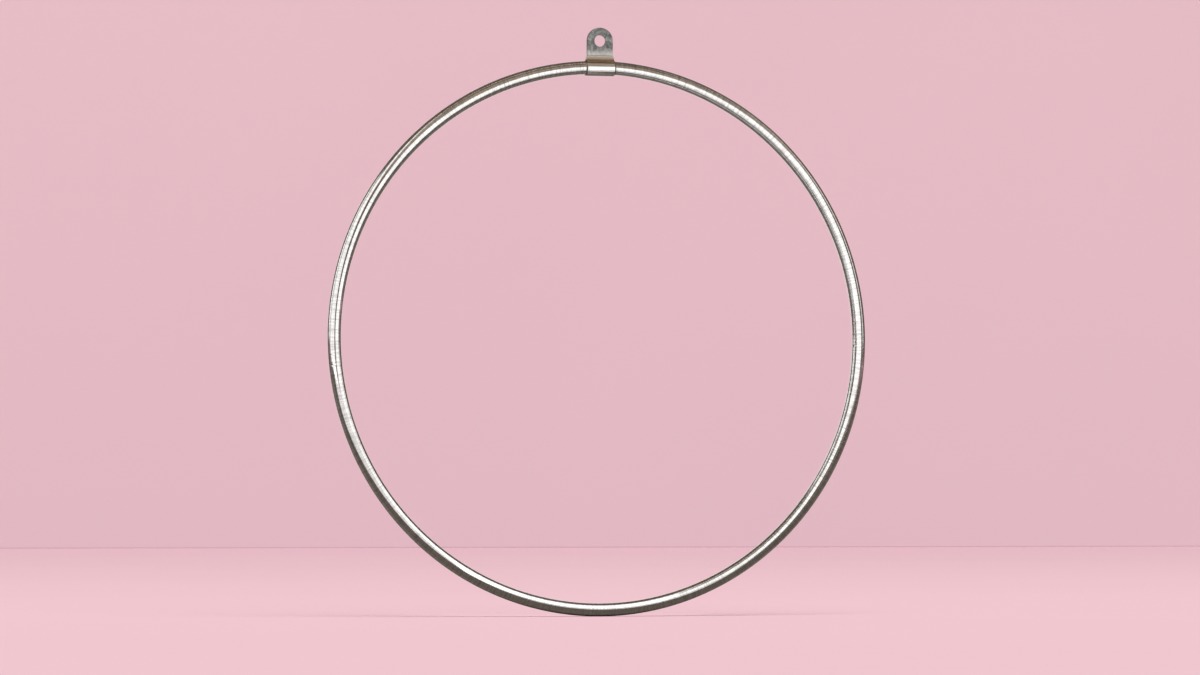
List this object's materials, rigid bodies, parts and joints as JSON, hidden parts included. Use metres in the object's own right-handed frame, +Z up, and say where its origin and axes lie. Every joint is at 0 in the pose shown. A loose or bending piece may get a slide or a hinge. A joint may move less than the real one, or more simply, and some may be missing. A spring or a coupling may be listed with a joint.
{
  "type": "aerial hoop",
  "caption": "Single-point aerial hoop (lyra): round steel tube ring with one welded hanger tab and hanging hole at the top.",
  "frame": {"origin": "centre of the hanging hole, midway between the two faces of the ear", "axes": "+Z up, from the hoop's centre towards the tab; +Y along the hanging hole, away from the picture's viewer; +X to the viewer's right"},
  "size_m": [1.0498, 0.032, 1.1129],
  "materials": {
    "tube_steel": "bright polished",
    "tab_steel": "dull, buffed at the wrap",
    "weld_metal": "brushed after welding",
    "spigot_steel": "mill finish"
  },
  "bodies": {
    "root": {"hoop_tube": "tube_steel", "joint_spigot": "spigot_steel", "butt_weld": "weld_metal", "tab_strap": "tab_steel", "tab_weld_left": "weld_metal", "tab_weld_right": "weld_metal", "ear_seam_weld": "weld_metal"}
  },
  "joints": []
}
